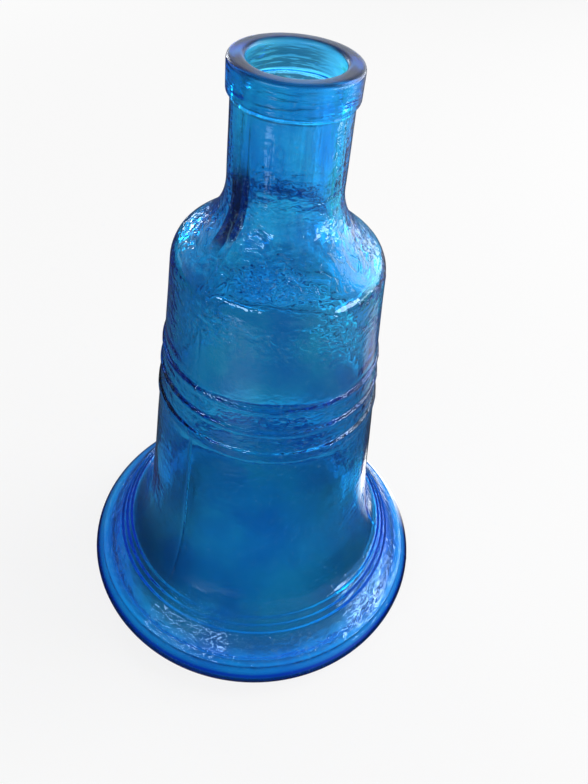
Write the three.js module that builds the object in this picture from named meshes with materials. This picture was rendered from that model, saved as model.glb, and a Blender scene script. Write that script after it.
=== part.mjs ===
// A bell-shaped glass decanter: a mould-blown bell body with a laid-on lip ring round its open mouth.
// Millimetres, +Z up, origin at the centre of the ring that it stands on.
import * as THREE from "three";

// Heights, stacked from the table up to the mouth
const HEEL_HEIGHT = 5.2;
const RIM_RISE = 0.6;
const FLANGE_HEIGHT = 10.2;
const BEAD_HEIGHT = 1.2;
const BEAD_GAP = 0.9;
const SKIRT_HEIGHT = 62.6;
const LOWER_BAND = 4.5;
const LOWER_FLAT = 4.7;
const MIDDLE_BAND = 2.9;
const UPPER_FLAT = 4.5;
const UPPER_BAND = 3.1;
const BARREL_HEIGHT = 28.6;
const SHOULDER_HEIGHT = 10.7;
const NECK_HEIGHT = 28.4;
const LIP_HEIGHT = 7.7;

// Radii, and widths measured along a radius
const FOOT_RADIUS = 59;
const FLANGE_WIDTH = 9.7;
const RIM_ROUND = 2.6;
const BEAD_ZONE_WIDTH = 5.1;
const WAIST_RADIUS = 32.3;
const BAND_TAPER = 2.2;
const BARREL_TAPER = 2.4;
const NECK_RADIUS = 14.3;
const NECK_TAPER = 0.4;
const LIP_OVERHANG = 1;

// Glass thickness, and the width of the rounding where the inside of the wall meets the floor
const WALL = 3.1;
const FLOOR = 5;
const FLOOR_ROUND = 4;

// The foot's underside: a rounded heel, a flat ring to stand on and a shallow push-up
const HEEL_WIDTH = 5.5;
const STANDING_RING_WIDTH = 10;
const PUSH_UP = 2.5;

// Relief of the mouldings, and the width of their sloping edges
const BEAD_COUNT = 3;
const BEAD_RELIEF = 0.5;
const BEAD_EDGE = 0.4;
const BAND_RELIEF = 0.9;
const BAND_EDGE = 0.7;

// How the curved stretches leave their ends, and how far back from a corner its curve starts
const SKIRT_FOOT_PULL = 14;
const SKIRT_WAIST_PULL = 30;
const SHOULDER_ROUND = 3.8;
const NECK_FILLET = 8.7;

// Rounded edges of the lip ring
const LIP_UNDERCUT = 1;
const LIP_EDGE = 0.6;
const MOUTH_EDGE = 1.6;

// Fineness of the surfaces
const SEGMENTS = 48;
const CURVE_STEPS = 8;
const SMALL_STEPS = 4;

// Places that several stretches share, as radius and height
const beadPitch = BEAD_HEIGHT + BEAD_GAP;
const bandZoneHeight = LOWER_BAND + LOWER_FLAT + MIDDLE_BAND + UPPER_FLAT + UPPER_BAND;
const footEdge = new THREE.Vector2(FOOT_RADIUS, HEEL_HEIGHT);
const rimCorner = new THREE.Vector2(FOOT_RADIUS, footEdge.y + RIM_RISE);
const flangeTop = new THREE.Vector2(rimCorner.x - FLANGE_WIDTH, rimCorner.y + FLANGE_HEIGHT);
const flangeFoot = rimCorner.clone().lerp(flangeTop, RIM_ROUND / FLANGE_WIDTH);
const skirtFoot = new THREE.Vector2(flangeTop.x - BEAD_ZONE_WIDTH, flangeTop.y + BEAD_COUNT * beadPitch);
const waist = new THREE.Vector2(WAIST_RADIUS, skirtFoot.y + SKIRT_HEIGHT);
const barrelFoot = new THREE.Vector2(waist.x - BAND_TAPER, waist.y + bandZoneHeight);
const barrelTop = new THREE.Vector2(barrelFoot.x - BARREL_TAPER, barrelFoot.y + BARREL_HEIGHT);
const neckFoot = new THREE.Vector2(NECK_RADIUS, barrelTop.y + SHOULDER_HEIGHT);
const neckTop = new THREE.Vector2(neckFoot.x - NECK_TAPER, neckFoot.y + NECK_HEIGHT);
const boreRadius = neckTop.x - WALL;
const heelRadius = FOOT_RADIUS - HEEL_WIDTH;
const pushUpRadius = heelRadius - STANDING_RING_WIDTH;

// Points of a curve after its first one, which the stretch before it has already given.
function after(curve, steps) {
  return curve.getPoints(steps).slice(1);
}

// A curve from one point to another that rounds off the corner between them.
function rounding(from, corner, to) {
  return new THREE.QuadraticBezierCurve(from, corner, to);
}

// A corner between two lines, rounded off from a distance before it to the same distance after it.
function roundedCorner(from, corner, to, distance) {
  const towards = (end) => corner.clone().addScaledVector(end.clone().sub(corner).normalize(), distance);
  return rounding(towards(from), corner, towards(to)).getPoints(CURVE_STEPS);
}

// Height of the push-up at a radius: highest on the axis, nothing at the standing ring.
function pushUpAt(radius) {
  return PUSH_UP * Math.max(0, 1 - (radius / pushUpRadius) ** 2);
}

// Points along the push-up from the axis out to a radius, at a height above the underside.
function domedFloor(outerRadius, height) {
  return Array.from({ length: SMALL_STEPS + 1 }, (_, i) => {
    const radius = (outerRadius * i) / SMALL_STEPS;
    return new THREE.Vector2(radius, height + pushUpAt(radius));
  });
}

// The underside, the rounded heel and the rounded rim, from the axis out and up to the flange.
function footPoints() {
  const heelStart = new THREE.Vector2(heelRadius, 0);
  const heelCorner = new THREE.Vector2(FOOT_RADIUS, 0);
  return [
    ...domedFloor(pushUpRadius, 0),
    heelStart,
    ...after(rounding(heelStart, heelCorner, footEdge), SMALL_STEPS),
    ...after(rounding(footEdge, rimCorner, flangeFoot), SMALL_STEPS),
  ];
}

// A straight stretch with raised mouldings on it, each from a low to a high distance up from its start.
// A moulding is a foot, a flat crest and a foot again, with sloping edges between them.
function mouldedLine(from, to, mouldings, relief, edgeWidth) {
  const along = to.clone().sub(from);
  const outward = new THREE.Vector2(along.y, -along.x).normalize();
  const onLine = (rise, height) => {
    return from.clone().addScaledVector(along, rise / along.y).addScaledVector(outward, height);
  };
  return mouldings.flatMap(([low, high]) => {
    const edge = Math.min(edgeWidth, (high - low) / 2);
    return [onLine(low, 0), onLine(low + edge, relief), onLine(high - edge, relief), onLine(high, 0)];
  });
}

// Fine beads round the foot of the bell.
function beadPoints() {
  const beads = Array.from({ length: BEAD_COUNT }, (_, i) => {
    const low = i * beadPitch + BEAD_GAP / 2;
    return [low, low + BEAD_HEIGHT];
  });
  return mouldedLine(flangeTop, skirtFoot, beads, BEAD_RELIEF, BEAD_EDGE);
}

// The concave flare of the bell, from the beads up to the waist.
function skirtPoints() {
  const footSlope = skirtFoot.clone().sub(flangeTop).normalize();
  const waistSlope = barrelFoot.clone().sub(waist).normalize();
  const footHandle = skirtFoot.clone().addScaledVector(footSlope, SKIRT_FOOT_PULL);
  const waistHandle = waist.clone().addScaledVector(waistSlope, -SKIRT_WAIST_PULL);
  return after(new THREE.CubicBezierCurve(skirtFoot, footHandle, waistHandle, waist), CURVE_STEPS);
}

// Three raised bands with two bare flats between them.
// The first band starts at the waist, a point that the skirt has already given.
function bandPoints() {
  const middle = LOWER_BAND + LOWER_FLAT;
  const upper = middle + MIDDLE_BAND + UPPER_FLAT;
  const bands = [
    [0, LOWER_BAND],
    [middle, middle + MIDDLE_BAND],
    [upper, upper + UPPER_BAND],
  ];
  return mouldedLine(waist, barrelFoot, bands, BAND_RELIEF, BAND_EDGE).slice(1);
}

// The shoulder: a cone between a rounded crease at the barrel's top and a fillet at the neck's foot.
function shoulderPoints() {
  return [
    ...roundedCorner(barrelFoot, barrelTop, neckFoot, SHOULDER_ROUND),
    ...roundedCorner(barrelTop, neckFoot, neckTop, NECK_FILLET),
  ];
}

// The inside of the wall, down from the top of the neck to the floor and along the floor to the axis.
// It is the plain outer line, without its mouldings, set in by the wall's thickness and rounded at the floor.
function insidePoints() {
  const skirt = [flangeFoot, flangeTop, skirtFoot, ...skirtPoints()];
  const line = [...skirt, barrelFoot, ...shoulderPoints(), neckTop];
  const wall = line.slice(1, -1).map((point, i) => {
    const run = line[i + 2].clone().sub(line[i]).normalize();
    return new THREE.Vector2(point.x - run.y * WALL, point.y + run.x * WALL);
  });

  const [lowest, second] = wall;
  const fall = (lowest.y - FLOOR) / (second.y - lowest.y);
  const corner = lowest.clone().addScaledVector(lowest.clone().sub(second), fall);
  const floor = domedFloor(corner.x - FLOOR_ROUND, FLOOR).reverse();
  const bore = new THREE.Vector2(boreRadius, neckTop.y);
  const turn = after(rounding(lowest, corner, floor[0]), CURVE_STEPS);
  return [bore, ...wall.reverse(), ...turn, ...floor.slice(1)];
}

// A solid of revolution about +Z.
function turned(points) {
  return new THREE.LatheGeometry(points, SEGMENTS).rotateX(Math.PI / 2);
}

// Clear glass of one tint.
function glass(color) {
  return new THREE.MeshStandardMaterial({
    color,
    roughness: 0.06,
    metalness: 0,
    transparent: true,
    opacity: 0.6,
  });
}

// Everything that was blown in the mould, from the foot to the end of the neck.
function bellBody() {
  const outside = [
    ...footPoints(),
    flangeTop,
    ...beadPoints(),
    skirtFoot,
    ...skirtPoints(),
    ...bandPoints(),
    ...shoulderPoints(),
    neckTop,
  ];
  return new THREE.Mesh(turned([...outside, ...insidePoints()]), glass(0x1668b4));
}

// A collar of glass laid on the end of the neck, with the neck's bore through it and a flat top.
function lipRing() {
  const lipRadius = neckTop.x + LIP_OVERHANG;
  const at = (radius, height) => new THREE.Vector2(radius, neckTop.y + height);
  const lowerEdge = rounding(at(neckTop.x, 0), at(lipRadius, 0), at(lipRadius, LIP_UNDERCUT));
  const upperEdge = rounding(
    at(lipRadius, LIP_HEIGHT - LIP_EDGE),
    at(lipRadius, LIP_HEIGHT),
    at(lipRadius - LIP_EDGE, LIP_HEIGHT),
  );
  const mouthEdge = rounding(
    at(boreRadius + MOUTH_EDGE, LIP_HEIGHT),
    at(boreRadius, LIP_HEIGHT),
    at(boreRadius, LIP_HEIGHT - MOUTH_EDGE),
  );
  const edges = [lowerEdge, upperEdge, mouthEdge].flatMap((curve) => curve.getPoints(SMALL_STEPS));
  return new THREE.Mesh(turned([at(boreRadius, 0), ...edges, at(boreRadius, 0)]), glass(0x1f83bd));
}

const decanter = new THREE.Group();
const pieces = { bell_body: bellBody(), lip_ring: lipRing() };
for (const [name, mesh] of Object.entries(pieces)) {
  mesh.name = name;
  decanter.add(mesh);
}

export default decanter;
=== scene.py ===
"""A bell-shaped blue glass decanter on a pale studio floor."""

import math

import bpy
from mathutils import Matrix, Vector


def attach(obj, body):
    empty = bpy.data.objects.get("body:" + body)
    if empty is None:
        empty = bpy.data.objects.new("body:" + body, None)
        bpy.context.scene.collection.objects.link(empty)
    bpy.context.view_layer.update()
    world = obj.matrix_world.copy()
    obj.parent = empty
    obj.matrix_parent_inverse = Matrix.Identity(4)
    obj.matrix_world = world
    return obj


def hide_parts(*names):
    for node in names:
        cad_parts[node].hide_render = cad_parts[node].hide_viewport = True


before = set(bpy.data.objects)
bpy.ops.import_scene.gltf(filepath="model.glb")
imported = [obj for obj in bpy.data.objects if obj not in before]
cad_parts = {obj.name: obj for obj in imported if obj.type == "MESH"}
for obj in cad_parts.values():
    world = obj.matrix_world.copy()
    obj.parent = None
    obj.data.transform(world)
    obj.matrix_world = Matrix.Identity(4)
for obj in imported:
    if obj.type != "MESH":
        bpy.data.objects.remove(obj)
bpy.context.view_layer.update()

MM = 0.001

# Heights of the glass in millimetres, stacked from the floor up to the mouth
HEEL_HEIGHT = 5.2
RIM_RISE = 0.6
FLANGE_HEIGHT = 10.2
BEAD_HEIGHT = 1.2
BEAD_GAP = 0.9
SKIRT_HEIGHT = 62.6
LOWER_BAND = 4.5
LOWER_FLAT = 4.7
MIDDLE_BAND = 2.9
UPPER_FLAT = 4.5
UPPER_BAND = 3.1
BARREL_HEIGHT = 28.6
SHOULDER_HEIGHT = 10.7
NECK_HEIGHT = 28.4
LIP_HEIGHT = 7.7

# Radii in millimetres, and widths along a radius
FOOT_RADIUS = 59
FLANGE_WIDTH = 9.7
RIM_ROUND = 2.6
BEAD_ZONE_WIDTH = 5.1
WAIST_RADIUS = 32.3
BAND_TAPER = 2.2
BARREL_TAPER = 2.4
NECK_RADIUS = 14.3
NECK_TAPER = 0.4
LIP_OVERHANG = 1
HEEL_WIDTH = 5.5
STANDING_RING_WIDTH = 10

# Thickness of the glass, the push-up under it and the rounding of the inside corner
WALL = 3.1
FLOOR_GLASS = 5
FLOOR_ROUND = 4
PUSH_UP = 2.5

# Mouldings: how far they stand out and how wide their sloping edges are
BEAD_COUNT = 3
BEAD_RELIEF = 0.8
RIM_LINE = 1.1
RIM_LINE_RELIEF = 0.3
BAND_RELIEF = 0.6
BAND_EDGE = 1.2

# How the skirt leaves its ends, and how far from a corner its rounding starts
SKIRT_FOOT_PULL = 14
SKIRT_WAIST_PULL = 30
SHOULDER_ROUND = 3.8
NECK_FILLET = 8.7
LIP_UNDERCUT = 1
LIP_EDGE = 1.3
MOUTH_EDGE = 1.3

# Seams of the mould
SEAM_COUNT = 3
SEAM_AZIMUTH = math.radians(-128)
SEAM_HEIGHT = 0.22
SEAM_WIDTH = 0.9
SEAM_CROWDING = 0.7

# Waves of blown glass: their height, and how close together the slow swells and the upright streaks are
WAVE_HEIGHT = 0.35
WAVE_SEED = 4.0
SWELL_SCALE = 55
SWELL_DETAIL = 1.5
STREAK_SCALE = 40
STREAK_DETAIL = 1
STREAK_CROWDING = 6
STREAK_SHARE = 0.35

# A dark fold and a blister at the foot of the neck
FOLD_AZIMUTH = math.radians(-141)
FOLD_WIDTH = 4.4
FOLD_LOW = 138
FOLD_HIGH = 161
BLISTER_AZIMUTH = math.radians(-132)
BLISTER_HEIGHT = 145
BLISTER_WIDTH = 1.5
BLISTER_LENGTH = 4.2

# Fine relief of the skin in millimetres
PEBBLE_RELIEF = 1.4
RIDGE_RELIEF = 0.12
DRAWN_RELIEF = 0.25
TOOLED_RELIEF = 0.3
BLISTER_RELIEF = 0.25

# Steps round the glass, and how near two points are when they become one
SEGMENTS = 228
MERGE_DISTANCE = 1e-6

# Marks that each stretch of the glass has a share of
MARKS = ("wave", "seam", "pebble", "streak", "rings", "deep", "worn", "bloom")

# Looks of the glass and the floor
WHITE = (1, 1, 1, 1)
GLASS_TINT = (0.02, 0.785, 0.955, 1)
GLASS_DENSITY = 550
GLASS_IOR = 1.5
# Painted reflection: every reflection tinted blue, standing for a blue sky
SKY_BLUE_GLOSS_TINT = (0.4, 0.65, 1, 1)
# Painted shade over worked, streaked and tooled places, with some real wear
SHADE_AND_WEAR_TINT = (0.2, 0.45, 0.65, 1)
CLOUD_TINT = (0.2, 0.5, 0.85, 1)
FOLD_TINT = (0.001, 0.008, 0.08, 1)
# Painted shade: the heel and rim darkened to deep blue, for light's long path through the thick rounded edge
RIM_SHADE_TINT = (0.002, 0.01, 0.2, 1)
# Dust, and the painted highlight round the blister
DUST_AND_HIGHLIGHT_TINT = (0.25, 0.62, 0.95, 1)
BLOOM_COVER = 0.018
CLEAN_ROUGHNESS = 0.015
WORN_ROUGHNESS = 0.3
FLOOR_TINT = (0.9, 0.9, 0.9, 1)
# Painted light: a green tint on the floor, seen only through the glass
PAINTED_GREEN_LIGHT = (0.7, 1, 0.7, 1)
FLOOR_WHITENESS = 0.85
FLOOR_REACH = 4
FLOOR_DROP = 0.0002

# Painted pools of light on the floor, seen only in the glass, in metres: to the right, to the back, radius
# of the even core, radius, strength
LIP_BACK_POOL = (0.22, 0.28, 0.02, 0.05, 1.5)
MIRRORED_POOLS = {
    "barrel_reflection": (-0.09, -0.19, 0.02, 0.1, 0.8),
    "neck_streak_reflection": (-0.21, -0.3, 0.03, 0.07, 4),
    "flange_sheen": (0.14, 0.085, 0.02, 0.05, 0.7),
    "neck_edge": (0.39, 0.07, 0.015, 0.035, 5),
    "lip_edge": (0.43, 0.19, 0.03, 0.06, 2),
}

# The camera, in millimetres and radians, and the picture in pixels
PICTURE = (588, 784)
FOCAL_PIXELS = 700
CAMERA_BACK = 152.587
CAMERA_HEIGHT = 234.548
CAMERA_PITCH = 0.78775
CAMERA_SIDE = 0.05464
CAMERA_ROLL = 0.12866
SENSOR_WIDTH = 36
NEAREST_SEEN = 0.005

LAMP_AIM = (0, 0, 0.09)


class Wire:
    """An output socket. Arithmetic on it adds Math nodes to its tree."""

    def __init__(self, net, socket):
        self.net = net
        self.socket = socket

    def math(self, operation, *values):
        inputs = dict(enumerate((self, *values)))
        return self.net.node("ShaderNodeMath", {"operation": operation}, inputs)

    def __add__(self, other):
        return self.math("ADD", other)

    def __sub__(self, other):
        return self.math("SUBTRACT", other)

    def __rsub__(self, other):
        return self.net.node("ShaderNodeMath", {"operation": "SUBTRACT"}, {0: other, 1: self})

    def __mul__(self, other):
        return self.math("MULTIPLY", other)

    def __truediv__(self, other):
        return self.math("DIVIDE", other)

    __radd__ = __add__
    __rmul__ = __mul__

    def parts(self):
        """The X, Y and Z of a vector."""
        return [self.net.node("ShaderNodeSeparateXYZ", None, {"Vector": self}, axis) for axis in "XYZ"]

    def eased(self, start, end, low, high):
        """The value brought from one range to another, with soft ends."""
        inputs = {"Value": self, "From Min": start, "From Max": end, "To Min": low, "To Max": high}
        return self.net.node("ShaderNodeMapRange", {"interpolation_type": "SMOOTHSTEP"}, inputs)

    def between(self, rise_start, rise_end, fall_start, fall_end):
        """1 between two soft edges and 0 on either side of them."""
        return self.eased(rise_start, rise_end, 0, 1) * self.eased(fall_start, fall_end, 1, 0)


class Net:
    """A node tree that is built one node at a time."""

    def __init__(self, tree):
        self.tree = tree

    def node(self, kind, settings=None, inputs=None, output=0):
        """Adds a node with its settings, then its sockets' values or links, and gives one of its outputs."""
        made = self.tree.nodes.new(kind)
        for name, value in (settings or {}).items():
            setattr(made, name, value)
        for key, value in (inputs or {}).items():
            socket = self.pick(made.inputs, key)
            if isinstance(value, Wire):
                self.tree.links.new(value.socket, socket)
            else:
                socket.default_value = value
        if not made.outputs:
            return None
        return Wire(self, self.pick(made.outputs, output))

    @staticmethod
    def pick(sockets, key):
        """A socket by its number, or by its name among those in use."""
        if isinstance(key, int):
            return sockets[key]
        return next(socket for socket in sockets if socket.name == key and socket.enabled)

    def blend(self, factor, under, over):
        """A colour with a share of another one over it."""
        inputs = {"Factor": factor, "A": under, "B": over}
        return self.node("ShaderNodeMix", {"data_type": "RGBA"}, inputs, "Result")

    def ray_kinds(self):
        """1 or 0 for a ray from the camera, one mirrored by glass and one passed on through it."""
        names = ("Is Camera Ray", "Is Glossy Ray", "Is Transmission Ray")
        camera, glossy, passed = (self.node("ShaderNodeLightPath", None, None, name) for name in names)
        return camera, glossy * (1 - passed), passed


def added(name, data):
    """A new object, placed in the scene."""
    thing = bpy.data.objects.new(name, data)
    bpy.context.scene.collection.objects.link(thing)
    return thing


def bare_material(name):
    """A material without nodes, and the net to add them with."""
    material = bpy.data.materials.new(name)
    material.use_nodes = True
    material.node_tree.nodes.clear()
    return material, Net(material.node_tree)


def bezier(points, steps):
    """Points along a curve of any degree, its first one left out."""
    line = []
    for i in range(1, steps + 1):
        row = [Vector(point) for point in points]
        while len(row) > 1:
            row = [a.lerp(b, i / steps) for a, b in zip(row, row[1:])]
        line.append(row[0])
    return line


def straight(start, end, steps):
    """Points along a line, its first one left out."""
    return bezier([start, end], steps)


def eased_corner(start, corner, end, distance, steps):
    """Points round a corner, from a distance before it to the same distance after it."""
    before = corner + (start - corner).normalized() * distance
    beyond = corner + (end - corner).normalized() * distance
    return [before, *bezier([before, corner, beyond], steps)]


def moulded_line(start, end, mouldings, relief, edge, steps):
    """Points along a line with rounded mouldings on it, each between two heights above its start."""
    along = end - start
    outward = Vector((along.y, -along.x)).normalized()
    line = []
    for point in straight(start, end, steps):
        rise = point.y - start.y
        lift = 0
        for low, high in mouldings:
            inside = min(rise - low, high - rise)
            share = min(max(inside / edge, 0), 1)
            lift = max(lift, 0.5 - 0.5 * math.cos(math.pi * share))
        line.append(point + outward * relief * lift)
    return line


class GlassLine:
    """The section of the glass as radius and height in millimetres.

    It runs from the axis under the foot, up the outside, down the inside and along the floor to the axis.
    """

    def __init__(self):
        self.bead_pitch = BEAD_HEIGHT + BEAD_GAP
        bands = LOWER_BAND + LOWER_FLAT + MIDDLE_BAND + UPPER_FLAT + UPPER_BAND
        self.foot_edge = Vector((FOOT_RADIUS, HEEL_HEIGHT))
        self.rim_corner = self.foot_edge + Vector((0, RIM_RISE))
        self.flange_top = self.rim_corner + Vector((-FLANGE_WIDTH, FLANGE_HEIGHT))
        self.flange_foot = self.rim_corner.lerp(self.flange_top, RIM_ROUND / FLANGE_WIDTH)
        self.skirt_foot = self.flange_top + Vector((-BEAD_ZONE_WIDTH, BEAD_COUNT * self.bead_pitch))
        self.waist = Vector((WAIST_RADIUS, self.skirt_foot.y + SKIRT_HEIGHT))
        self.barrel_foot = self.waist + Vector((-BAND_TAPER, bands))
        self.barrel_top = self.barrel_foot + Vector((-BARREL_TAPER, BARREL_HEIGHT))
        self.neck_foot = Vector((NECK_RADIUS, self.barrel_top.y + SHOULDER_HEIGHT))
        self.neck_top = self.neck_foot + Vector((-NECK_TAPER, NECK_HEIGHT))
        self.bore = self.neck_top.x - WALL
        self.lip_radius = self.neck_top.x + LIP_OVERHANG
        self.heel = FOOT_RADIUS - HEEL_WIDTH
        self.push_up_edge = self.heel - STANDING_RING_WIDTH

    def push_up(self, radius):
        """Height of the push-up at a radius: most on the axis, none at the standing ring."""
        return PUSH_UP * max(0, 1 - (radius / self.push_up_edge) ** 2)

    def domed(self, radius, height, steps):
        """Points over the push-up, from the axis out to a radius."""
        radii = [radius * i / steps for i in range(steps + 1)]
        return [Vector((r, height + self.push_up(r))) for r in radii]

    def underside(self):
        standing = straight(Vector((self.push_up_edge, 0)), Vector((self.heel, 0)), steps=3)
        return [*self.domed(self.push_up_edge, 0, steps=8), *standing]

    def heel_round(self):
        return bezier([Vector((self.heel, 0)), Vector((FOOT_RADIUS, 0)), self.foot_edge], steps=12)

    def rim(self):
        return bezier([self.foot_edge, self.rim_corner, self.flange_foot], steps=8)

    def flange(self):
        """The sloping top of the foot, with a fine line along its outer edge."""
        line = [(0, RIM_LINE)]
        edge = RIM_LINE / 2
        return moulded_line(self.flange_foot, self.flange_top, line, RIM_LINE_RELIEF, edge, steps=24)

    def beads(self):
        lows = [i * self.bead_pitch + BEAD_GAP / 2 for i in range(BEAD_COUNT)]
        mouldings = [(low, low + BEAD_HEIGHT) for low in lows]
        edge = BEAD_HEIGHT / 2
        return moulded_line(self.flange_top, self.skirt_foot, mouldings, BEAD_RELIEF, edge, steps=42)

    def skirt(self, steps):
        foot_slope = (self.skirt_foot - self.flange_top).normalized()
        waist_slope = (self.barrel_foot - self.waist).normalized()
        foot_handle = self.skirt_foot + foot_slope * SKIRT_FOOT_PULL
        waist_handle = self.waist - waist_slope * SKIRT_WAIST_PULL
        return bezier([self.skirt_foot, foot_handle, waist_handle, self.waist], steps)

    def bands(self):
        middle = LOWER_BAND + LOWER_FLAT
        upper = middle + MIDDLE_BAND + UPPER_FLAT
        mouldings = [(0, LOWER_BAND), (middle, middle + MIDDLE_BAND), (upper, upper + UPPER_BAND)]
        return moulded_line(self.waist, self.barrel_foot, mouldings, BAND_RELIEF, BAND_EDGE, steps=66)

    def barrel(self):
        return straight(self.barrel_foot, self.crease()[0], steps=16)

    def crease(self):
        return eased_corner(self.barrel_foot, self.barrel_top, self.neck_foot, SHOULDER_ROUND, steps=12)

    def slope(self):
        return straight(self.crease()[-1], self.fillet()[0], steps=5)

    def fillet(self):
        return eased_corner(self.barrel_top, self.neck_foot, self.neck_top, NECK_FILLET, steps=14)

    def neck(self):
        return straight(self.fillet()[-1], self.neck_top, steps=16)

    def lip_at(self, radius, height):
        """A point of the lip at a height above the end of the neck."""
        return Vector((radius, self.neck_top.y + height))

    def collar(self):
        low_end = self.lip_at(self.lip_radius, LIP_UNDERCUT)
        side_end = self.lip_at(self.lip_radius, LIP_HEIGHT - LIP_EDGE)
        lower_edge = bezier([self.neck_top, self.lip_at(self.lip_radius, 0), low_end], steps=8)
        return [*lower_edge, *straight(low_end, side_end, steps=8)]

    def lip_top(self):
        side_end = self.lip_at(self.lip_radius, LIP_HEIGHT - LIP_EDGE)
        top_start = self.lip_at(self.lip_radius - LIP_EDGE, LIP_HEIGHT)
        top_end = self.lip_at(self.bore + MOUTH_EDGE, LIP_HEIGHT)
        mouth_start = self.lip_at(self.bore, LIP_HEIGHT - MOUTH_EDGE)
        return [
            *bezier([side_end, self.lip_at(self.lip_radius, LIP_HEIGHT), top_start], steps=6),
            *straight(top_start, top_end, steps=3),
            *bezier([top_end, self.lip_at(self.bore, LIP_HEIGHT), mouth_start], steps=8),
        ]

    def mouth(self):
        mouth_start = self.lip_at(self.bore, LIP_HEIGHT - MOUTH_EDGE)
        return straight(mouth_start, self.lip_at(self.bore, 0), steps=8)

    def inside_wall(self):
        """The plain outer line, set in by the wall's thickness, from the neck down to the foot."""
        skirt = [self.flange_foot, self.flange_top, self.skirt_foot, *self.skirt(steps=24)]
        barrel = [*straight(self.waist, self.barrel_foot, steps=8), *self.barrel()]
        shoulder = [*self.crease()[1:], *self.slope(), *self.fillet()[1:]]
        outer = [*skirt, *barrel, *shoulder, *self.neck()]
        wall = []
        for before, point, beyond in zip(outer, outer[1:], outer[2:]):
            run = (beyond - before).normalized()
            wall.append(point + Vector((-run.y, run.x)) * WALL)
        return wall[::-1]

    def inside_floor(self):
        """The rounded corner where the wall's inside meets the floor, and the floor's top to the axis."""
        second, lowest = self.inside_wall()[-2:]
        fall = (lowest.y - FLOOR_GLASS) / (second.y - lowest.y)
        corner = lowest + (lowest - second) * fall
        floor = self.domed(corner.x - FLOOR_ROUND, FLOOR_GLASS, steps=10)[::-1]
        return [*bezier([lowest, corner, floor[0]], steps=12), *floor[1:]]


def blurred(values, reach=3):
    """Values along the section, each the mean of its neighbours, so that one stretch runs into the next."""
    windows = [values[max(0, i - reach):i + reach + 1] for i in range(len(values))]
    return [sum(window) / len(window) for window in windows]


def section_mesh(line):
    """The section as a chain of edges; each point knows its outward direction and its share of each mark."""
    barrel = line.barrel()
    half = len(barrel) // 2
    stretches = [
        (line.underside(), dict(worn=0.8)),
        # deep marks painted shade on the heel and rim
        (line.heel_round(), dict(deep=0.7, worn=0.8)),
        (line.rim(), dict(seam=1, deep=1)),
        (line.flange(), dict(wave=0.5, seam=1, pebble=0.4, bloom=3)),
        (line.beads(), dict(wave=0.5, seam=1, pebble=0.15, bloom=1)),
        (line.skirt(steps=32), dict(wave=1, seam=1, pebble=0.1)),
        (line.bands(), dict(wave=0.8, seam=0.5, pebble=0.25, bloom=0.5)),
        (barrel[:half], dict(wave=1, seam=0.35, pebble=0.05, bloom=1)),
        (barrel[half:], dict(wave=1, seam=0.35, pebble=0.3, bloom=1)),
        (line.crease()[1:], dict(wave=1, seam=0.35, pebble=0.1, bloom=1)),
        (line.slope(), dict(wave=1, seam=0.35, pebble=0.9, bloom=1)),
        (line.fillet()[1:], dict(wave=1, seam=0.35, pebble=0.4, streak=1, bloom=1)),
        (line.neck(), dict(wave=1, seam=0.5, pebble=0.12, streak=1, bloom=1)),
        (line.collar(), dict(wave=0.5, rings=1, bloom=1)),
        (line.lip_top(), dict(rings=0.4, worn=1, bloom=1)),
        (line.mouth(), dict(wave=0.5, rings=0.4, worn=0.2)),
        (line.inside_wall(), dict(wave=1.2, streak=0.2)),
        (line.inside_floor(), dict(wave=1.2, worn=0.8)),
    ]
    points = [point for stretch, _ in stretches for point in stretch]
    shares = [share for stretch, share in stretches for _ in stretch]
    outward = []
    for i in range(len(points)):
        run = (points[min(i + 1, len(points) - 1)] - points[max(i - 1, 0)]).normalized()
        outward.append((run.y, 0, -run.x))

    mesh = bpy.data.meshes.new("glass_section")
    corners = [(point.x * MM, 0, point.y * MM) for point in points]
    mesh.from_pydata(corners, [(i, i + 1) for i in range(len(points) - 1)], [])
    directions = mesh.attributes.new("outward", "FLOAT_VECTOR", "POINT")
    directions.data.foreach_set("vector", [value for row in outward for value in row])
    for name in MARKS:
        layer = mesh.attributes.new(name, "FLOAT", "POINT")
        layer.data.foreach_set("value", blurred([share.get(name, 0.0) for share in shares]))
    return mesh


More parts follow.
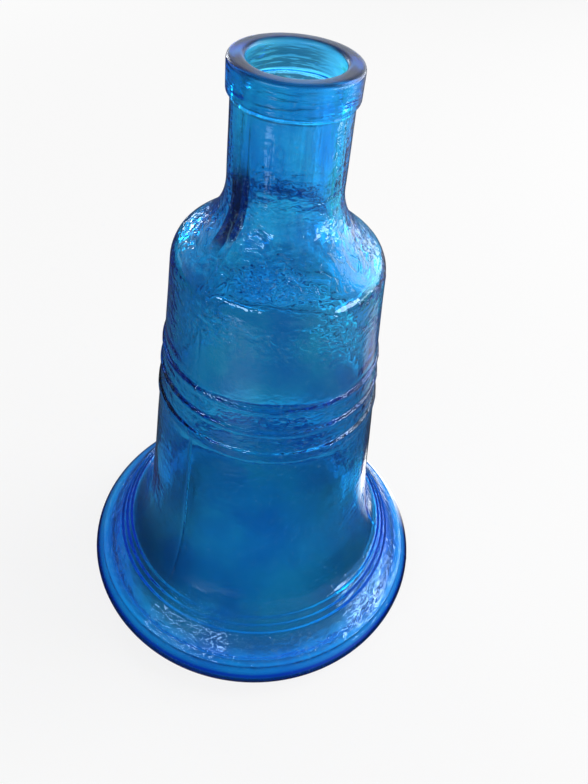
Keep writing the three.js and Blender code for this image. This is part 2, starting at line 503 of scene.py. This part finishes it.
def turning_tree():
    """Turns a section about +Z, with the waves of blown glass and the seams of a mould of several parts."""
    tree = bpy.data.node_groups.new("turned_glass", "GeometryNodeTree")
    sockets = tree.interface
    sockets.new_socket("Geometry", in_out="OUTPUT", socket_type="NodeSocketGeometry")
    sockets.new_socket("Section", in_out="INPUT", socket_type="NodeSocketGeometry")
    kinds = {
        "Segments": "NodeSocketInt",
        "Seam Count": "NodeSocketInt",
        "Seam Azimuth": "NodeSocketFloat",
        "Seam Height": "NodeSocketFloat",
        "Seam Width": "NodeSocketFloat",
        "Seam Crowding": "NodeSocketFloat",
        "Wave Height": "NodeSocketFloat",
        "Seed": "NodeSocketFloat",
        "Glass": "NodeSocketMaterial",
    }
    for name, kind in kinds.items():
        sockets.new_socket(name, in_out="INPUT", socket_type=kind)

    net = Net(tree)
    given = tree.nodes.new("NodeGroupInput")
    size = {name: Wire(net, given.outputs[name]) for name in ("Section", *kinds)}
    section = {"Geometry": size["Section"]}
    rows = net.node("GeometryNodeAttributeDomainSize", {"component": "MESH"}, section, "Point Count")
    columns = size["Segments"] + 1
    sheet = net.node("GeometryNodeMeshGrid", None, {"Vertices X": columns, "Vertices Y": rows}, "Mesh")

    index = net.node("GeometryNodeInputIndex")
    column = (index / rows).math("FLOOR")
    row = index - column * rows

    def along_section(kind, value):
        """A value at the point of the section that a vertex comes from."""
        settings = {"data_type": kind, "domain": "POINT"}
        inputs = {"Geometry": size["Section"], "Value": value, "Index": row}
        return net.node("GeometryNodeSampleIndex", settings, inputs)

    def mark(name, kind="FLOAT"):
        """What the section's point knows under a name."""
        known = net.node("GeometryNodeInputNamedAttribute", {"data_type": kind}, {"Name": name})
        return along_section(kind, known)

    def vector(x, y, z):
        return net.node("ShaderNodeCombineXYZ", None, {"X": x, "Y": y, "Z": z})

    def noise(place, scale, detail):
        """Noise about zero."""
        settings = {"noise_dimensions": "4D"}
        inputs = {"Vector": place, "W": size["Seed"], "Scale": scale, "Detail": detail}
        return net.node("ShaderNodeTexNoise", settings, inputs, "Fac") - 0.5

    radius, _, height = along_section("FLOAT_VECTOR", net.node("GeometryNodeInputPosition")).parts()
    out_radius, _, out_height = mark("outward", "FLOAT_VECTOR").parts()

    # Columns crowd together at the seams, which are narrow
    even = column / size["Segments"] * math.tau
    swing = ((even - size["Seam Azimuth"]) * size["Seam Count"]).math("SINE")
    turn = even - swing * size["Seam Crowding"] / size["Seam Count"]
    across = turn.math("COSINE")
    away = turn.math("SINE")

    from_seam = ((turn - size["Seam Azimuth"]) * size["Seam Count"] * 0.5).math("SINE").math("ABSOLUTE")
    distance = from_seam * radius * 2 / size["Seam Count"]
    nearness = (1 - distance / size["Seam Width"]).math("MAXIMUM", 0)
    seam = nearness * nearness * size["Seam Height"] * mark("seam")

    swells = noise(vector(radius * across, radius * away, height), SWELL_SCALE, SWELL_DETAIL)
    crowded = vector(radius * across * STREAK_CROWDING, radius * away * STREAK_CROWDING, height)
    streaks = noise(crowded, STREAK_SCALE, STREAK_DETAIL)
    waves = (swells + streaks * STREAK_SHARE) * size["Wave Height"] * mark("wave")

    lift = seam + waves
    moved_radius = radius + lift * out_radius
    moved = vector(moved_radius * across, moved_radius * away, height + lift * out_height)
    marked = sheet
    for name, triple in {"skin": ("pebble", "streak", "rings"), "edges": ("deep", "worn", "bloom")}.items():
        kept = {"Geometry": marked, "Name": name, "Value": vector(*(mark(share) for share in triple))}
        settings = {"data_type": "FLOAT_VECTOR", "domain": "POINT"}
        marked = net.node("GeometryNodeStoreNamedAttribute", settings, kept)
    placed = net.node("GeometryNodeSetPosition", None, {"Geometry": marked, "Position": moved})
    merging = {"Geometry": placed, "Distance": MERGE_DISTANCE}
    closed = net.node("GeometryNodeMergeByDistance", None, merging)

    smooth = net.node("GeometryNodeSetShadeSmooth", None, {"Geometry": closed, "Shade Smooth": True})
    real = net.node("GeometryNodeRealizeInstances", None, {"Geometry": smooth})
    finished = net.node("GeometryNodeSetMaterial", None, {"Geometry": real, "Material": size["Glass"]})
    net.node("NodeGroupOutput", None, {"Geometry": finished})
    return tree


def bell_glass(material):
    """The whole vessel, wall and lip, as one closed skin of glass."""
    holder = added("glass_section", section_mesh(GlassLine()))
    tree = turning_tree()
    turning = holder.modifiers.new("turning", "NODES")
    turning.node_group = tree
    values = {
        "Segments": SEGMENTS,
        "Seam Count": SEAM_COUNT,
        "Seam Azimuth": SEAM_AZIMUTH,
        "Seam Height": SEAM_HEIGHT * MM,
        "Seam Width": SEAM_WIDTH * MM,
        "Seam Crowding": SEAM_CROWDING,
        "Wave Height": WAVE_HEIGHT * MM,
        "Seed": WAVE_SEED,
        "Glass": material,
    }
    for socket in tree.interface.items_tree:
        if socket.name in values:
            turning[socket.identifier] = values[socket.name]

    evaluated = holder.evaluated_get(bpy.context.evaluated_depsgraph_get())
    mesh = bpy.data.meshes.new_from_object(evaluated)
    bpy.data.objects.remove(holder)
    mesh.name = "bell_glass"
    return added("bell_glass", mesh)


def blue_glass():
    """Clear blue glass: the tint is in its depth, so thin places are turquoise and thick ones deep blue."""
    material, net = bare_material("blue_glass")
    place = net.node("ShaderNodeTexCoord", None, None, "Object")
    across, away, up = place.parts()
    radius = (across * across + away * away).math("SQRT")
    azimuth = away.math("ARCTAN2", across)
    level = up / MM

    def stored(name):
        """The three marks that the skin keeps under a name."""
        return net.node("ShaderNodeAttribute", {"attribute_name": name}, None, "Vector").parts()

    def noise(scale, detail, stretch=(1, 1, 1), seed=0):
        turned = net.node("ShaderNodeMapping", None, {"Vector": place, "Scale": stretch})
        inputs = {"Vector": turned, "W": seed, "Scale": scale, "Detail": detail}
        return net.node("ShaderNodeTexNoise", {"noise_dimensions": "4D"}, inputs, "Fac")

    def round_from(start):
        """Distance round the glass from an azimuth, in millimetres."""
        return (azimuth - start).math("ABSOLUTE") * radius / MM

    pebble, streak, rings = stored("skin")
    # deep is the share of painted shade on the heel and rim
    deep, worn, bloom = stored("edges")

    # Relief: pebbles in patches, streaks drawn up the neck, rings left by the lip's tool, and the blister
    worked = pebble * noise(scale=70, detail=1, seed=138.5).eased(0.4, 0.6, 0.5, 1)
    grain = noise(scale=420, detail=0.5, stretch=(1, 1, 1.5))
    ridges = (grain - 0.5).math("ABSOLUTE").eased(0, 0.06, 1, 0)
    drawn = noise(scale=420, detail=2, stretch=(1, 1, 0.12))
    tooled = noise(scale=700, detail=2, stretch=(0.12, 0.12, 1))
    wide = round_from(BLISTER_AZIMUTH) / BLISTER_WIDTH
    long = (level - BLISTER_HEIGHT) / BLISTER_LENGTH
    from_blister = (wide * wide + long * long).math("SQRT")
    blister = from_blister.eased(0.5, 1, 1, 0)
    height = ((grain * PEBBLE_RELIEF + ridges * RIDGE_RELIEF) * worked
              + drawn * streak * DRAWN_RELIEF
              + tooled * rings * TOOLED_RELIEF
              + blister * BLISTER_RELIEF)
    bump = net.node("ShaderNodeBump", None, {"Strength": 1, "Distance": MM, "Height": height})

    # Tints on the surface: painted shade where it was worked and a little real wear, slow clouds, the dark
    # fold and the rim painted deep blue as shade
    # Painted shade: worked patches darkened except along their ridge lines, which stay light as painted
    # glints; drawn streaks and tool rings darkened with their relief; worn places a little dulled by real
    # wear
    painted_shade_and_wear = (worked * (1 - ridges) * 0.6
            + streak * drawn.eased(0.45, 0.6, 0, 0.6)
            + rings * tooled.eased(0.45, 0.6, 0.05, 0.55)
            + worn * 0.15)
    clouds = noise(scale=40, detail=2).eased(0.4, 0.62, 0, 0.6)
    fold = (round_from(FOLD_AZIMUTH).eased(FOLD_WIDTH * 0.42, FOLD_WIDTH * 0.48, 1, 0)
            * level.between(FOLD_LOW, FOLD_LOW + 3, FOLD_HIGH - 6, FOLD_HIGH))
    tint = net.blend(painted_shade_and_wear, WHITE, SHADE_AND_WEAR_TINT)
    for share, colour in ((clouds, CLOUD_TINT), (fold, FOLD_TINT), (deep, RIM_SHADE_TINT)):
        tint = net.blend(share, tint, colour)
    surface = net.node("ShaderNodeBsdfPrincipled", None, {
        "Base Color": tint,
        "Roughness": worn * WORN_ROUGHNESS + CLEAN_ROUGHNESS,
        "IOR": GLASS_IOR,
        # reflections painted sky blue
        "Specular Tint": SKY_BLUE_GLOSS_TINT,
        "Transmission Weight": 1,
        "Normal": bump,
    })

    # Dust: specks, frost between the pebbles and an even bloom; and a painted highlight, the blister's
    # broken pale outline
    specks = noise(scale=1500, detail=0, seed=7).eased(0.73, 0.8, 0, 0.15)
    frost = worked * noise(scale=900, detail=1, seed=3).eased(0.56, 0.68, 0, 0.3)
    # Painted highlight: a pale broken ring round the blister, standing for light on its edges
    painted_blister_highlight = (from_blister - 0.9).math("ABSOLUTE").eased(0, 0.25, 0.25, 0) * grain.eased(0.42, 0.55, 0, 1)
    cover = specks + frost + bloom * BLOOM_COVER + painted_blister_highlight
    dust_and_highlight = net.node("ShaderNodeBsdfDiffuse", None, {"Color": DUST_AND_HIGHLIGHT_TINT})
    dusted_and_highlit = net.node("ShaderNodeMixShader", None, {0: cover, 1: surface, 2: dust_and_highlight})

    depth = net.node("ShaderNodeVolumeAbsorption", None, {"Color": GLASS_TINT, "Density": GLASS_DENSITY})
    net.node("ShaderNodeOutputMaterial", None, {"Surface": dusted_and_highlit, "Volume": depth})
    return material


def pale_floor():
    """A wide pale floor, white to the camera but for the shadow on it.

    Rays that the glass has passed on or mirrored see painted light and shade on it instead, standing for the
    light that the glass gathers there.
    """
    mesh = bpy.data.meshes.new("floor")
    turns = ((-1, -1), (1, -1), (1, 1), (-1, 1))
    corners = [(x * FLOOR_REACH, y * FLOOR_REACH, -FLOOR_DROP) for x, y in turns]
    mesh.from_pydata(corners, [], [(0, 1, 2, 3)])
    material, net = bare_material("pale_floor")
    material.cycles.emission_sampling = "NONE"
    mesh.materials.append(material)
    right, back, _ = net.node("ShaderNodeTexCoord", None, None, "Object").parts()
    radius = (right * right + back * back).math("SQRT")
    camera, mirrored, passed = net.ray_kinds()

    def pool(across, away, core, edge, strength):
        """A soft round patch of light."""
        aside, ahead = right - across, back - away
        return (aside * aside + ahead * ahead).math("SQRT").eased(core, edge, strength, 0)

    # Through the glass: a painted bright ring round the foot, and painted shade under it that is deepest on
    # the left
    ring = radius.between(0.046, 0.053, 0.07, 0.095)
    beside = back.eased(0.03, 0.042, 1, 0) + back.between(0.055, 0.064, 0.068, 0.08) * 0.45
    painted_ring_light = ring * beside * right.eased(-0.03, 0.06, 0.7, 1.4)
    shade = (radius.eased(0.005, 0.035, -0.1, 0.2)
             + right.math("ABSOLUTE").eased(0.015, 0.04, 0, 0.4)
             + right.eased(-0.04, -0.015, 0.25, 0))
    below = radius.eased(0.04, 0.052, 1, 0)

    # Through the glass: painted light on the floor behind it, dimmer close by, on the left and where the
    # mouth looks
    far = (back.eased(0.15, 0.27, 0.45, 0.95)
           - back.eased(0.29, 0.33, 0, 0.05)
           - back.eased(0.435, 0.47, 0, 0.5)
           + back.eased(0.7, 1.2, 0, 1))
    aside = right.eased(0.02, 0.12, 0, 0.9) * back.eased(0.05, 0.2, 0, 1) + pool(*LIP_BACK_POOL)
    through_glass = far * right.eased(-0.2, 0, 0.75, 1) * (1 - shade * below) + aside + painted_ring_light

    # Mirrored by the glass: painted light on the ring's back right, the floor far to the right and the pools
    close = radius.between(0.05, 0.058, 0.068, 0.078)
    on_glass = close * back.eased(0.01, 0.03, 0, 3) * right.eased(0, 0.04, 0, 1)
    on_glass = on_glass + right.eased(0.12, 0.25, 0.05, 0.5)
    for patch in MIRRORED_POOLS.values():
        on_glass = on_glass + pool(*patch)

    glow = camera + passed * through_glass + mirrored * on_glass
    # Painted light: greener on the right, seen only through the glass
    tint = net.blend(passed * right.eased(0.1, 0.2, 0, 1), WHITE, PAINTED_GREEN_LIGHT)
    light = net.node("ShaderNodeVectorMath", {"operation": "SCALE"}, {"Vector": tint, "Scale": glow})
    lit = net.node("ShaderNodeEmission", None, {"Color": light, "Strength": 1})
    matt = net.node("ShaderNodeBsdfDiffuse", None, {"Color": FLOOR_TINT})
    seen = camera * FLOOR_WHITENESS + mirrored + passed
    mixed = net.node("ShaderNodeMixShader", None, {0: seen, 1: matt, 2: lit})
    net.node("ShaderNodeOutputMaterial", None, {"Surface": mixed})
    return added("floor", mesh)


def studio_world():
    """Soft light from all round, more of it low down, on the right and behind, before a white background."""
    world = bpy.data.worlds.new("studio")
    bpy.context.scene.world = world
    world.use_nodes = True
    world.node_tree.nodes.clear()
    net = Net(world.node_tree)
    right, back, up = net.node("ShaderNodeTexCoord", None, None, "Generated").parts()
    camera, _, passed = net.ray_kinds()
    around = up.eased(0.15, 0.8, 1, 0.15) * (right * 0.5 + back * 0.8 + 0.7).math("MAXIMUM", 0.1)
    overhead = up.eased(0.75, 0.9, 0, 3)
    horizon = up.between(-0.02, 0.05, 0.25, 0.4) * back.eased(0.85, 0.95, 0, 1.5)
    through_glass = right * 0.3 + 0.6 + overhead + horizon
    strength = camera + passed * through_glass + (1 - camera - passed) * around
    sky = net.node("ShaderNodeBackground", None, {"Color": WHITE, "Strength": strength})
    net.node("ShaderNodeOutputWorld", None, {"Surface": sky})


def soft_box(name, place, width, height, power):
    """An even rectangular lamp, in metres and watts, that faces the glass."""
    light = bpy.data.lights.new(name, "AREA")
    light.shape = "RECTANGLE"
    light.size = width
    light.size_y = height
    light.energy = power
    lamp = added(name, light)
    lamp.location = place
    lamp.rotation_euler = (Vector(LAMP_AIM) - Vector(place)).to_track_quat("-Z", "Y").to_euler()


def photo_camera():
    """A camera where the photograph was taken from."""
    data = bpy.data.cameras.new("camera")
    data.sensor_width = SENSOR_WIDTH
    data.lens = FOCAL_PIXELS / max(PICTURE) * data.sensor_width
    data.clip_start = NEAREST_SEEN
    across, away = math.cos(CAMERA_SIDE), math.sin(CAMERA_SIDE)
    level, down = math.cos(CAMERA_PITCH), math.sin(CAMERA_PITCH)
    ahead = Vector((away * level, across * level, -down))
    right = Vector((across, -away, 0))
    up = Vector((away * down, across * down, level))
    tilt, lean = math.cos(CAMERA_ROLL), math.sin(CAMERA_ROLL)
    axes = Matrix((right * tilt + up * lean, up * tilt - right * lean, -ahead)).transposed().to_4x4()
    axes.translation = Vector((0, -CAMERA_BACK, CAMERA_HEIGHT)) * MM
    camera = added("camera", data)
    camera.matrix_world = axes
    bpy.context.scene.camera = camera


glass = bell_glass(blue_glass())
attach(glass, "root")
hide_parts("bell_body", "lip_ring")

pale_floor()
studio_world()
soft_box("right_window", (0.63, 0.25, 0.5), width=0.45, height=0.45, power=3)
soft_box("low_right_window", (0.85, -0.22, 0.15), width=0.4, height=0.16, power=3.5)
soft_box("front_left_window", (-0.47, -0.68, 0.38), width=0.75, height=0.055, power=2.3)
soft_box("right_horizon", (0.85, 0.1, 0.045), width=0.3, height=0.08, power=0.5)
soft_box("right_wall", (0.75, 0.45, 0.15), width=0.8, height=0.3, power=2.2)
soft_box("back_left_window", (-0.5, 0.8, 0.3), width=0.15, height=0.4, power=1.6)
photo_camera()
bpy.context.scene.view_settings.view_transform = "Standard"
bpy.context.scene.cycles.max_bounces = 24
bpy.context.scene.cycles.transmission_bounces = 24
bpy.context.scene.cycles.glossy_bounces = 12
